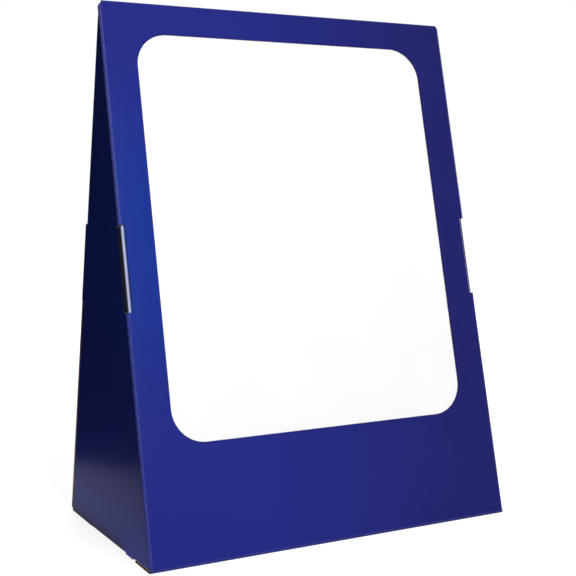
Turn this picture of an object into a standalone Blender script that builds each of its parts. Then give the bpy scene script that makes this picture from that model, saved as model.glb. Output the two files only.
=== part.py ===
# Folding tabletop chart stand in printed corrugated board.
#
# One creased sheet makes the front frame, back, two sides and two bottom flaps.
# Each panel is built as the board is made: printed liner, fluting and inner liner.
# A white foam board sits behind the front's window, and its edges show in slots by the folds.
# Lengths are in millimetres here and become metres when a mesh is made.
# +Z is up, the window faces -Y, and the origin is under the middle of the stand.

from math import asin, atan, cos, pi, sin, sqrt, tan

import bmesh
import bpy
from mathutils import Matrix, Vector

METRE = 0.001

# The stand as a whole
WIDTH = 457.0            # across the printed faces of the two sides
HEIGHT = 604.0           # floor to the top of the ridge fold
DEPTH = 272.0            # front face to back face, carried down to the floor

# The board: liner, fluting and liner, with room between them for the glue lines
BOARD = 3.2
LINER = 0.35
GLUE_ROOM = 0.3
FLUTE_PITCH = 6.5
FLUTE_PAPER = 0.3
FLUTE_HEIGHT = BOARD - 2 * LINER - 2 * GLUE_ROOM

# Folds: crushed board rolled round the inner corner of two panels
CREASE_THICKNESS = 1.2
CREASE_STEP = 0.22       # largest angle of one facet, in radians
END_GAP = 0.15           # each panel and each roll stops this far from the fold line

# Ridge fold: both boards are crushed thin, so that the printed faces all but meet
RIDGE_CRUSH = 1.2
RIDGE_LEG = 5.5          # crushed board behind the print, down each slope
RIDGE_LEG_GAP = 0.1      # between the two legs, from each to the fold's axis
RIDGE_HALF_WIDTH = 223.5

# Front window
WINDOW_WIDTH = 376.0
WINDOW_BOTTOM = 127.5    # up the slope from the floor corner
WINDOW_TOP = 584.0
WINDOW_RADIUS = 38.0
ARC_STEPS = 8            # facets in a window corner

# Slots half way up the four upright edges
SLOT_BOTTOM = 271.0      # up the slope from the floor corner
SLOT_LENGTH = 95.0
SLOT_WIDTH = 6.9         # into the front, from a side's printed face
SLOT_DEPTH = 6.5         # into a side, from the front's printed face
SLOT_PLAY = 0.5
EAR_PROUD = 0.6          # a side's ear past the back's printed face
NOTCH_DEPTH = 3.7        # into the edge of the back

# Edges of the panels
BUTT_PLAY = 0.35         # where the edge of one panel rests on the face of another
REAR_PLAY = 1.6          # from the rear edge of a side to the inner face of the back
SIDE_TOP_RELIEF = 15.0   # a side stops this far below the ridge's fold line
SIDE_FRONT_FOOT = 75.0   # from the front's floor corner to the foot's rear end
SIDE_FOOT_STEP = 51.5    # where the foot comes down behind the flap's corner
SIDE_FRONT_CLEARANCE = 0.7
SIDE_MIDDLE_CLEARANCE = (2.4, 1.0)   # at the front foot and at the rear foot
SIDE_REAR_CLEARANCE = 0.4
BACK_UPPER_INSET = 2.1   # the back is narrower above the ears, so the sides hide its edges
CORNER_CUT = 2.4         # chamfer on the top corners of the back
CORNER_DROP = 16.0       # its start, below the ridge's fold line
CORNER_CLIP = 5.0        # an upright roll's upper end, below the ridge's fold line

# Bottom flaps
FRONT_FLAP = 75.0        # depth from the front's floor corner
FRONT_FLAP_CORNER = 28.0
BACK_FLAP = 80.0
BACK_FLAP_CORNER = 12.0
BACK_FLAP_PLAY = 0.8     # to the inner face of each side

# White foam board behind the window
CHART_THICKNESS = 5.0
CHART_PAPER = 0.3
CHART_LAP_TOP = 11.0     # beyond the window, under the frame
CHART_LAP_BOTTOM = 28.0
CHART_PLAY = 0.6         # to the inner face of each side

# Plain colours from the photograph, linear, with roughness
PRINT_BLUE = (0.022, 0.027, 0.240, 1.0)
KRAFT = (0.42, 0.29, 0.17, 1.0)
FLUTING = (0.36, 0.24, 0.14, 1.0)
WHITE_PAPER = (0.86, 0.86, 0.86, 1.0)
WHITE_FOAM = (0.80, 0.81, 0.84, 1.0)
SATIN = 0.42
MATT = 0.85


# Worked out from the driving dimensions
RIDGE_AXIS_HEIGHT = HEIGHT - RIDGE_CRUSH
LEAN = atan(DEPTH / 2 / HEIGHT)
for _ in range(12):
    apex_height = RIDGE_AXIS_HEIGHT + RIDGE_CRUSH / sin(LEAN)
    LEAN = atan(DEPTH / 2 / apex_height)
RIDGE_RUN = apex_height / cos(LEAN) - RIDGE_CRUSH / tan(LEAN)   # slope length to the fold
FLOOR_CORNER = pi / 2 - LEAN                              # between a panel and its flap
FLOOR_SETBACK = BOARD / tan(FLOOR_CORNER / 2)             # floor corner to the flap's fold
INNER_HALF_WIDTH = WIDTH / 2 - BOARD                      # to the inner face of a side
SLOT_TOP = SLOT_BOTTOM + SLOT_LENGTH
FOLD_ORIGIN = (SLOT_BOTTOM + SLOT_TOP) / 2                # where each side's axis is stated


class Plane:
    # A panel's own axes: a across it, b along its flutes, c inward from its printed face.
    def __init__(self, origin, across, along, inward):
        self.origin = Vector(origin)
        self.across = Vector(across)
        self.along = Vector(along)
        self.inward = Vector(inward)

    def point(self, a, b, c):
        place = self.origin + self.across * a + self.along * b + self.inward * c
        return place * METRE

    def local(self, point):
        offset = Vector(point) - self.origin
        return offset.dot(self.across), offset.dot(self.along)


UP_FRONT = (0.0, sin(LEAN), cos(LEAN))
INTO_FRONT = (0.0, cos(LEAN), -sin(LEAN))
UP_BACK = (0.0, -sin(LEAN), cos(LEAN))
INTO_BACK = (0.0, -cos(LEAN), -sin(LEAN))
FRONT = Plane((0.0, -DEPTH / 2, 0.0), (1, 0, 0), UP_FRONT, INTO_FRONT)
BACK = Plane((0.0, DEPTH / 2, 0.0), (1, 0, 0), UP_BACK, INTO_BACK)
FRONT_FLOOR = Plane((0.0, -DEPTH / 2, 0.0), (1, 0, 0), (0, 1, 0), (0, 0, 1))
BACK_FLOOR = Plane((0.0, DEPTH / 2, 0.0), (1, 0, 0), (0, -1, 0), (0, 0, 1))
PROFILE = Plane((0.0, 0.0, 0.0), (0, 1, 0), (0, 0, 1), (1, 0, 0))


def side_plane(side):
    # The flutes of a side run along the front's fold, so its axes are the front's.
    return Plane((side * WIDTH / 2, -DEPTH / 2, 0.0), INTO_FRONT, UP_FRONT, (-side, 0, 0))


def make_material(name, colour, roughness):
    material = bpy.data.materials.new(name)
    material.use_nodes = True
    shader = material.node_tree.nodes["Principled BSDF"]
    shader.inputs["Base Color"].default_value = colour
    shader.inputs["Roughness"].default_value = roughness
    shader.inputs["Metallic"].default_value = 0.0
    return material


def make_object(name, bm, look=None):
    bmesh.ops.recalc_face_normals(bm, faces=bm.faces)
    mesh = bpy.data.meshes.new(name)
    bm.to_mesh(mesh)
    bm.free()
    obj = bpy.data.objects.new(name, mesh)
    bpy.context.collection.objects.link(obj)
    if look:
        mesh.materials.append(make_material(name, *look))
    return obj


def prism(name, plane, outline, depths, look=None):
    # A flat outline of (a, b) points, given thickness between two depths below the print.
    bm = bmesh.new()
    rings = []
    for depth in depths:
        rings.append([bm.verts.new(plane.point(a, b, depth)) for a, b in outline])
    bm.faces.new(rings[0])
    bm.faces.new(rings[1])
    for i in range(len(outline)):
        j = (i + 1) % len(outline)
        bm.faces.new((rings[0][i], rings[0][j], rings[1][j], rings[1][i]))
    return make_object(name, bm, look)


def cutter(name, plane, outline, depths):
    obj = prism(name, plane, outline, depths)
    obj.hide_render = True
    obj.display_type = "WIRE"
    return obj


def add_boolean(obj, tool, operation):
    modifier = obj.modifiers.new(tool.name, "BOOLEAN")
    modifier.operation = operation
    modifier.solver = "EXACT"
    modifier.object = tool


def fluting(name, plane, outline, middle):
    # One pleated sheet, a little larger than the panel, trimmed to the panel's outline.
    reach = FLUTE_PITCH
    low_a = min(a for a, b in outline) - reach
    high_a = max(a for a, b in outline) + reach
    low_b = min(b for a, b in outline) - reach
    high_b = max(b for a, b in outline) + reach
    pleats = int((high_a - low_a) / FLUTE_PITCH) + 1
    half_rise = (FLUTE_HEIGHT - FLUTE_PAPER) / 2
    half_paper = FLUTE_PAPER / 2 * sqrt(1 + (4 * half_rise / FLUTE_PITCH) ** 2)
    half_rise = FLUTE_HEIGHT / 2 - half_paper
    section = []
    for i in range(2 * pleats + 1):
        crest = half_rise if i % 2 else -half_rise
        section.append((low_a + i * FLUTE_PITCH / 2, middle + crest))
    bm = bmesh.new()
    rings = []
    for b in (low_b, high_b):
        near = [bm.verts.new(plane.point(a, b, c - half_paper)) for a, c in section]
        far = [bm.verts.new(plane.point(a, b, c + half_paper)) for a, c in section]
        rings.append((near, far))
    (near0, far0), (near1, far1) = rings
    last = len(section) - 1
    for i in range(last):
        bm.faces.new((near0[i], near0[i + 1], near1[i + 1], near1[i]))
        bm.faces.new((far0[i], far1[i], far1[i + 1], far0[i + 1]))
        bm.faces.new((near0[i], far0[i], far0[i + 1], near0[i + 1]))
        bm.faces.new((near1[i], near1[i + 1], far1[i + 1], far1[i]))
    bm.faces.new((near0[0], near1[0], far1[0], far0[0]))
    bm.faces.new((near0[last], far0[last], far1[last], near1[last]))
    sheet = make_object(name, bm, (FLUTING, MATT))
    trim = cutter(name + "_trim", plane, outline, (middle - BOARD, middle + BOARD))
    add_boolean(sheet, trim, "INTERSECT")
    return sheet


def corrugated_panel(name, plane, *outlines):
    # The three papers of one panel, printed face first, with one outline or three.
    printed, pleated, inner = outlines if len(outlines) == 3 else outlines * 3
    middle = LINER + GLUE_ROOM + FLUTE_HEIGHT / 2
    inner_depths = (BOARD - LINER, BOARD)
    return (
        prism(name + "_printed_liner", plane, printed, (0.0, LINER), (PRINT_BLUE, SATIN)),
        fluting(name + "_fluting", plane, pleated, middle),
        prism(name + "_inner_liner", plane, inner, inner_depths, (KRAFT, MATT)),
    )


def ridge_ends():
    # How far up its slope each paper of the front and the back goes: the printed liner
    # to the fold, and the other two until they would meet the other slope's.
    ends = [RIDGE_RUN - END_GAP]
    for depth in (LINER + GLUE_ROOM + FLUTE_HEIGHT, BOARD):
        ends.append((DEPTH / 2 - END_GAP - depth * cos(LEAN)) / sin(LEAN))
    return ends


def rounded_rectangle(low_a, high_a, low_b, high_b, radius):
    points = []
    corners = (
        (high_a - radius, low_b + radius, -pi / 2),
        (high_a - radius, high_b - radius, 0.0),
        (low_a + radius, high_b - radius, pi / 2),
        (low_a + radius, low_b + radius, pi),
    )
    for a, b, start in corners:
        for i in range(ARC_STEPS + 1):
            angle = start + pi / 2 * i / ARC_STEPS
            points.append((a + radius * cos(angle), b + radius * sin(angle)))
    return points


def front_panel():
    half = INNER_HALF_WIDTH - END_GAP
    low = FLOOR_SETBACK + END_GAP
    slot = WIDTH / 2 - SLOT_WIDTH
    outlines = []
    for high in ridge_ends():
        right = [
            (half, low),
            (half, SLOT_BOTTOM),
            (slot, SLOT_BOTTOM),
            (slot, SLOT_TOP),
            (half, SLOT_TOP),
            (half, high),
        ]
        outlines.append(right + [(-a, b) for a, b in reversed(right)])
    half_window = WINDOW_WIDTH / 2
    opening = rounded_rectangle(-half_window, half_window, WINDOW_BOTTOM, WINDOW_TOP, WINDOW_RADIUS)
    window = cutter("window_cut", FRONT, opening, (-BOARD, 2 * BOARD))
    for layer in corrugated_panel("front", FRONT, *outlines):
        add_boolean(layer, window, "DIFFERENCE")


def back_panel():
    # Below the ears the back runs the full width, so its raw edges show. A side's ear fills
    # each notch.
    half = WIDTH / 2
    notched = half - NOTCH_DEPTH
    upper = half - BACK_UPPER_INSET
    low = FLOOR_SETBACK + END_GAP
    corner = RIDGE_RUN - CORNER_DROP
    outlines = []
    for high in ridge_ends():
        right = [
            (half, low),
            (half, SLOT_BOTTOM),
            (notched, SLOT_BOTTOM),
            (notched, SLOT_TOP),
            (upper, SLOT_TOP),
            (upper, corner),
            (upper - CORNER_CUT, corner + CORNER_CUT),
            (upper - CORNER_CUT, high),
        ]
        outlines.append(right + [(-a, b) for a, b in reversed(right)])
    return corrugated_panel("back", BACK, *outlines)


def side_panel(name, side):
    plane = side_plane(side)
    depth_over = BOARD + END_GAP
    flap_top = BOARD + BUTT_PLAY

    def level(a, height):
        # Where a line of constant a in the front's axes is at a height above the floor.
        return (height + a * sin(LEAN)) / cos(LEAN)

    def floor(y, height):
        return plane.local((side * WIDTH / 2, y, height))

    def rear(b, inset):
        # A point on the back's slope, inset from its printed face.
        y = DEPTH / 2 - b * sin(LEAN) - inset * cos(LEAN)
        z = b * cos(LEAN) - inset * sin(LEAN)
        return plane.local((side * WIDTH / 2, y, z))

    butt = BOARD + REAR_PLAY
    foot_step = -DEPTH / 2 + SIDE_FOOT_STEP
    front_foot = -DEPTH / 2 + SIDE_FRONT_FOOT
    rear_foot = DEPTH / 2 - BACK_FLAP
    heel = (SIDE_REAR_CLEARANCE + butt * sin(LEAN)) / cos(LEAN)
    top = RIDGE_AXIS_HEIGHT - SIDE_TOP_RELIEF
    top_rear = (top + butt * sin(LEAN)) / cos(LEAN)
    outline = [
        (depth_over, level(depth_over, flap_top)),
        floor(foot_step, flap_top),
        floor(foot_step, SIDE_FRONT_CLEARANCE),
        floor(front_foot, SIDE_FRONT_CLEARANCE),
        floor(front_foot, SIDE_MIDDLE_CLEARANCE[0]),
        floor(rear_foot, SIDE_MIDDLE_CLEARANCE[1]),
        floor(rear_foot, SIDE_REAR_CLEARANCE),
        rear(heel, butt),
        rear(SLOT_BOTTOM + SLOT_PLAY, butt),
        rear(SLOT_BOTTOM + SLOT_PLAY, -EAR_PROUD),
        rear(SLOT_TOP - SLOT_PLAY, -EAR_PROUD),
        rear(SLOT_TOP - SLOT_PLAY, butt),
        rear(top_rear, butt),
        (depth_over, level(depth_over, top)),
        (depth_over, SLOT_TOP),
        (SLOT_DEPTH, SLOT_TOP),
        (SLOT_DEPTH, SLOT_BOTTOM),
        (depth_over, SLOT_BOTTOM),
    ]
    return corrugated_panel(name, plane, outline)


def flap_panel(name, plane, half, reach, corner):
    low = FLOOR_SETBACK + END_GAP
    outline = [
        (-half, low),
        (half, low),
        (half, reach - corner),
        (half - corner, reach),
        (-half + corner, reach),
        (-half, reach - corner),
    ]
    return corrugated_panel(name, plane, outline)


def chart_board():
    # White foam board: paper, foam and paper, just narrower than the room between the sides.
    low = WINDOW_BOTTOM - CHART_LAP_BOTTOM
    high = WINDOW_TOP + CHART_LAP_TOP
    half = INNER_HALF_WIDTH - CHART_PLAY
    outline = [(-half, low), (half, low), (half, high), (-half, high)]
    face = BOARD + GLUE_ROOM
    rear = face + CHART_THICKNESS
    core = (face + CHART_PAPER + GLUE_ROOM, rear - CHART_PAPER - GLUE_ROOM)
    prism("chart_board_face", FRONT, outline, (face, face + CHART_PAPER), (WHITE_PAPER, SATIN))
    prism("chart_board_foam", FRONT, outline, core, (WHITE_FOAM, MATT))
    prism("chart_board_backing", FRONT, outline, (rear - CHART_PAPER, rear), (WHITE_PAPER, MATT))


def crease(name, plane, fold_line, towards, turn):
    # A roll about the fold line, from one panel's end face round to the next one's.
    # The fold line's two ends and the direction towards the next panel's printed face
    # are in the plane's own three axes.
    steps = max(2, int(turn / CREASE_STEP) + 1)
    section = []
    for radius, order in ((BOARD, 1), (BOARD - CREASE_THICKNESS, -1)):
        trim = asin(END_GAP / radius)
        arc = []
        for i in range(steps + 1):
            angle = trim + (turn - 2 * trim) * i / steps
            arc.append((radius * cos(angle), radius * sin(angle)))
        section += arc[::order]
    bm = bmesh.new()
    rings = []
    for end in fold_line:
        ring = []
        for out, along in section:
            a, b, c = (e + along * t for e, t in zip(end, towards))
            ring.append(bm.verts.new(plane.point(a, b, c - out)))
        rings.append(ring)
    bm.faces.new(rings[0])
    bm.faces.new(rings[1])
    for i in range(len(section)):
        j = (i + 1) % len(section)
        bm.faces.new((rings[0][i], rings[0][j], rings[1][j], rings[1][i]))
    return make_object(name, bm, (PRINT_BLUE, SATIN))


def upright_creases():
    # Between the front and each side, in two lengths with the slot between them.
    low = FLOOR_SETBACK + 2 * END_GAP
    high = RIDGE_RUN - CORNER_CLIP
    for name, side in (("left", -1), ("right", 1)):
        a = side * INNER_HALF_WIDTH
        for part, ends in (("lower", (low, SLOT_BOTTOM)), ("upper", (SLOT_TOP, high))):
            fold_line = [(a, b, BOARD) for b in ends]
            crease(name + "_crease_" + part, FRONT, fold_line, (side, 0, 0), pi / 2)


def floor_crease(name, plane, half):
    ends = ((-half, FLOOR_SETBACK, BOARD), (half, FLOOR_SETBACK, BOARD))
    return crease(name, plane, ends, (0, -1, 0), pi - FLOOR_CORNER)


def ridge_crease():
    # Crushed board over the ridge: a small roll, and a leg behind the print of each slope.
    outer = LINER + GLUE_ROOM
    inner = RIDGE_CRUSH - RIDGE_LEG_GAP
    foot = RIDGE_RUN - RIDGE_LEG
    first = asin(END_GAP / RIDGE_CRUSH)
    last = pi / 2 - LEAN
    steps = int((last - first) / CREASE_STEP) + 1
    polar = [(RIDGE_CRUSH - outer, first)]
    polar += [(RIDGE_CRUSH, first + (last - first) * i / steps) for i in range(steps + 1)]
    front_half = [(RIDGE_RUN, inner), (foot, inner), (foot, outer)]
    front_half += [(RIDGE_RUN + r * sin(t), RIDGE_CRUSH - r * cos(t)) for r, t in polar]
    section = []
    for b, c in front_half:
        place = FRONT.point(0.0, b, c) / METRE
        section.append((place.y, place.z))
    section += [(-y, z) for y, z in reversed(section[:-1])]
    ends = (-RIDGE_HALF_WIDTH, RIDGE_HALF_WIDTH)
    return prism("ridge_crease", PROFILE, section, ends, (PRINT_BLUE, SATIN))


def hinge(name, place, pieces, holder=None):
    # An empty on a fold line carries the pieces that turn about it.
    empty = bpy.data.objects.new(name, None)
    bpy.context.collection.objects.link(empty)
    empty.location = place
    if holder:
        empty.parent = holder
        empty.matrix_parent_inverse = Matrix.Translation(-holder.location)
    for piece in pieces:
        piece.parent = empty
        piece.matrix_parent_inverse = Matrix.Translation(-place)
    return empty


def build():
    for obj in list(bpy.data.objects):
        bpy.data.objects.remove(obj, do_unlink=True)
    front_panel()
    chart_board()
    upright_creases()
    ridge_crease()
    floor_crease("front_floor_crease", FRONT, WIDTH / 2)

    back_half = INNER_HALF_WIDTH - BACK_FLAP_PLAY
    back = list(back_panel())
    back.append(floor_crease("back_floor_crease", BACK, back_half))
    ridge = hinge("ridge_fold", FRONT.point(0.0, RIDGE_RUN, RIDGE_CRUSH), back)

    flap = flap_panel("back_flap", BACK_FLOOR, back_half, BACK_FLAP, BACK_FLAP_CORNER)
    hinge("back_flap_fold", BACK_FLOOR.point(0.0, FLOOR_SETBACK, BOARD), flap, ridge)
    flap = flap_panel("front_flap", FRONT_FLOOR, WIDTH / 2, FRONT_FLAP, FRONT_FLAP_CORNER)
    hinge("front_flap_fold", FRONT_FLOOR.point(0.0, FLOOR_SETBACK, BOARD), flap)
    for name, side in (("left", -1), ("right", 1)):
        panel = side_panel(name + "_side", side)
        place = FRONT.point(side * INNER_HALF_WIDTH, FOLD_ORIGIN, BOARD)
        hinge(name + "_side_fold", place, panel)


build()
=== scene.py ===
from math import atan, cos, pi, radians, sin, tan

import bmesh
import bpy
from mathutils import Matrix, Vector


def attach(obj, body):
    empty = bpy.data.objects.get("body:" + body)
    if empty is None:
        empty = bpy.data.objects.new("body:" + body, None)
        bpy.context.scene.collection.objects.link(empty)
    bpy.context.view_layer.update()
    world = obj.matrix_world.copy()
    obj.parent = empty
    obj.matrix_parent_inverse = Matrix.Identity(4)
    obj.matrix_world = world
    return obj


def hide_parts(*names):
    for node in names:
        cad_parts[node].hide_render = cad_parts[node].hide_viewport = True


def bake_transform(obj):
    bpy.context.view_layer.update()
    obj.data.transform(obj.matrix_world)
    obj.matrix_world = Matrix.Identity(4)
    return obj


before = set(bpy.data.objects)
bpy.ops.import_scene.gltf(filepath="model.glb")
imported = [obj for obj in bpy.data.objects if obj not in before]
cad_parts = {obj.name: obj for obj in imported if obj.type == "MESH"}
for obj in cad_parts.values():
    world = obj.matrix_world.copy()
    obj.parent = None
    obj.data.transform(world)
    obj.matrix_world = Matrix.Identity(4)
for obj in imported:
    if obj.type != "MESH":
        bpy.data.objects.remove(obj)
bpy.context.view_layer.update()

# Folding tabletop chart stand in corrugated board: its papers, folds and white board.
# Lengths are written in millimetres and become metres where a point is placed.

mm = 0.001

# The stand, as the CAD has it
stand = {
    "width": 457.0,
    "height": 604.0,
    "depth": 272.0,
    "board": 3.2,
    "liner": 0.35,
    "ridgeRadius": 1.2,
    "slotBottom": 271.0,
    "slotTop": 366.0,
    "slotWidth": 6.9,      # into the front, from a side's print
    "slotDepth": 6.5,      # into a side, from the front's print
    "linerPlay": 0.04,     # each liner stops this far inside the board's outline
    "flutePlay": 0.25,     # and the fluting this far
    "ridgePlay": 0.1,      # between a slope's inner papers and the middle of the stand
}
linerPlay = stand["linerPlay"]
flutePlay = stand["flutePlay"]
board = stand["board"]
liner = stand["liner"]
halfWidth = stand["width"] / 2
halfDepth = stand["depth"] / 2
innerHalf = halfWidth - board
slotBottom = stand["slotBottom"]
slotTop = stand["slotTop"]
slotEdge = halfWidth - stand["slotWidth"]
ridgeHeight = stand["height"] - stand["ridgeRadius"]
lean = atan(halfDepth / stand["height"])
for _ in range(12):  # the lean and the height of the sharp apex depend on each other
    apexHeight = ridgeHeight + stand["ridgeRadius"] / sin(lean)
    lean = atan(halfDepth / apexHeight)
ridgeRun = apexHeight / cos(lean) - stand["ridgeRadius"] / tan(lean)
floorTurn = pi / 2 + lean                     # how far the print turns at a floor fold
floorFold = board / tan((pi / 2 - lean) / 2)  # floor corner to the floor fold

# A plane's own axes: a across the panel, b along its flutes, c inward from the print
upFront = (0, sin(lean), cos(lean))
intoFront = (0, cos(lean), -sin(lean))
upBack = (0, -sin(lean), cos(lean))
intoBack = (0, -cos(lean), -sin(lean))


def makePlane(origin, across, along, inward):
    return {
        "origin": Vector(origin),
        "across": Vector(across),
        "along": Vector(along),
        "inward": Vector(inward),
    }


frontPlane = makePlane((0, -halfDepth, 0), (1, 0, 0), upFront, intoFront)
backPlane = makePlane((0, halfDepth, 0), (1, 0, 0), upBack, intoBack)
frontFloor = makePlane((0, -halfDepth, 0), (1, 0, 0), (0, 1, 0), (0, 0, 1))
backFloor = makePlane((0, halfDepth, 0), (1, 0, 0), (0, -1, 0), (0, 0, 1))
sidePlanes = {
    side: makePlane((side * halfWidth, -halfDepth, 0), intoFront, upFront, (-side, 0, 0))
    for side in (-1, 1)
}


def place(plane, a, b, c):
    spot = plane["origin"] + plane["across"] * a + plane["along"] * b + plane["inward"] * c
    return spot * mm


def placeOn(plane, x, y, z):
    # Where a spot lies on a plane, as a and b
    offset = Vector((x, y, z)) - plane["origin"]
    return offset.dot(plane["across"]), offset.dot(plane["along"])


# Materials

def newMaterial(name):
    material = bpy.data.materials.new(name)
    material.use_nodes = True
    return material, material.node_tree, material.node_tree.nodes["Principled BSDF"]


def addNode(tree, kind, settings=None, inputs=None):
    node = tree.nodes.new(kind)
    for name, value in (settings or {}).items():
        setattr(node, name, value)
    for name, value in (inputs or {}).items():
        node.inputs[name].default_value = value
    return node


def noiseOn(tree, vector, scale, detail=3.0, roughness=0.6):
    inputs = {"Scale": scale, "Detail": detail, "Roughness": roughness}
    node = addNode(tree, "ShaderNodeTexNoise", None, inputs)
    tree.links.new(vector, node.inputs["Vector"])
    return node.outputs["Fac"]


def ramp(tree, value, low, high, toLow=0.0, toHigh=1.0):
    inputs = {"From Min": low, "From Max": high, "To Min": toLow, "To Max": toHigh}
    node = addNode(tree, "ShaderNodeMapRange", {"clamp": True}, inputs)
    tree.links.new(value, node.inputs["Value"])
    return node.outputs["Result"]


def combine(tree, operation, first, second=0.0):
    node = addNode(tree, "ShaderNodeMath", {"operation": operation})
    for socket, value in zip(node.inputs, (first, second)):
        if isinstance(value, (int, float)):
            socket.default_value = value
        else:
            tree.links.new(value, socket)
    return node.outputs["Value"]


def mixColours(tree, factor, first, second):
    node = addNode(tree, "ShaderNodeMix", {"data_type": "RGBA"})
    colours = [socket for socket in node.inputs if socket.type == "RGBA"]
    for socket, value in zip(colours, (first, second)):
        if isinstance(value, tuple):
            socket.default_value = (*value, 1.0)
        else:
            tree.links.new(value, socket)
    tree.links.new(factor, node.inputs["Factor"])
    return next(socket for socket in node.outputs if socket.type == "RGBA")


def bumpFrom(tree, height, distance, under=None):
    node = addNode(tree, "ShaderNodeBump", None, {"Strength": 1.0, "Distance": distance})
    tree.links.new(height, node.inputs["Height"])
    if under:
        tree.links.new(under, node.inputs["Normal"])
    return node.outputs["Normal"]


def stretched(tree, vector, scale):
    node = addNode(tree, "ShaderNodeMapping", None, {"Scale": scale})
    tree.links.new(vector, node.inputs["Vector"])
    return node.outputs["Vector"]


kraftLook = {
    "light": (0.47, 0.325, 0.195),
    "dark": (0.335, 0.220, 0.120),
    "speck": (0.150, 0.085, 0.045),
    "fibreScale": (420, 420, 90),      # noise cells in a metre, along X, Y and Z
    "crossScale": (150, 500, 600),
    "speckScale": (900, 900, 420),
    "pulpScale": 38.0,
    "tones": (0.32, 0.78),             # from dark to light, on the blend of fibres and pulp
    "specks": (0.73, 0.80),
    "speckCover": 0.7,
    "roughness": 0.82,
    "specular": 0.25,
    "fibreBump": 0.00006,              # metres, like every bump here
}


def addKraft(tree, look):
    # Long fibres, clouds of pulp and a few dark specks
    where = addNode(tree, "ShaderNodeTexCoord").outputs["Object"]
    fibres = noiseOn(tree, stretched(tree, where, look["fibreScale"]), 1.0, 4.0, 0.7)
    cross = noiseOn(tree, stretched(tree, where, look["crossScale"]), 1.0, 3.0, 0.6)
    pulp = noiseOn(tree, where, look["pulpScale"], 2.0)
    blend = combine(tree, "ADD", combine(tree, "MULTIPLY", fibres, 0.6),
                    combine(tree, "MULTIPLY", pulp, 0.5))
    colour = mixColours(tree, ramp(tree, blend, *look["tones"]), look["dark"], look["light"])
    specks = noiseOn(tree, stretched(tree, where, look["speckScale"]), 1.0, 1.0, 0.5)
    specks = ramp(tree, specks, *look["specks"], 0.0, look["speckCover"])
    colour = mixColours(tree, specks, colour, look["speck"])
    height = combine(tree, "ADD", fibres, cross)
    return colour, height


def kraftMaterial(name, look):
    material, tree, shader = newMaterial(name)
    colour, height = addKraft(tree, look)
    tree.links.new(colour, shader.inputs["Base Color"])
    tree.links.new(bumpFrom(tree, height, look["fibreBump"]), shader.inputs["Normal"])
    shader.inputs["Roughness"].default_value = look["roughness"]
    shader.inputs["Specular IOR Level"].default_value = look["specular"]
    return material


kraftPaper = kraftMaterial("kraft liner", kraftLook)
flutePaper = kraftMaterial("fluting medium", {
    **kraftLook,
    "light": (0.400, 0.285, 0.180),
    "dark": (0.270, 0.185, 0.110),
})

printLook = {
    "left": (0.0202, 0.0260, 0.2290),       # painted light: the blue is lighter at the left and darker toward the right
    "right": (0.0160, 0.0168, 0.1280),
    "paintedFalloff": (-0.08, 0.20),                 # from the left colour to the right one, along X
    "bright": (0.0122, 0.0375, 0.2900),     # a painted sheen: lighter, greener blue by the left fold
    "paintedSheenPlace": (-0.215, -0.06, 0.345),
    "paintedSheenReach": (0.02, 0.26),
    "cloud": (0.030, 0.036, 0.290),         # slow clouds in the film
    # lighter blue for pinholes and scuffed folds, and along the upright folds also a painted
    # highlight
    "scuffAndHighlight": (0.100, 0.105, 0.330),
    "crushed": (0.0022, 0.0024, 0.0120),    # near-black: painted shade on the print over a slot's edge, where the attribute is -1
    "cloudScale": 7.0,
    "clouds": (0.34, 0.66),
    "cloudCover": 0.14,
    "mottleScale": 160.0,
    "crackScale": 420.0,
    "cracks": (0.42, 0.60),
    "leastCrack": 0.35,                     # the least lightening between the cracks of a worn fold, which keeps the painted highlight of the upright folds even
    "grainScale": 900.0,
    "pinholes": (0.74, 0.80),
    "pinholeCover": 0.5,
    "roughness": (0.17, 0.28),
    "rawRoughness": 0.35,                   # added where there is no ink
    "specular": 0.0125,
    "flutePitch": 0.0065,
    "washboard": 0.000007,
    "grainBump": 0.000012,
}


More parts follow.
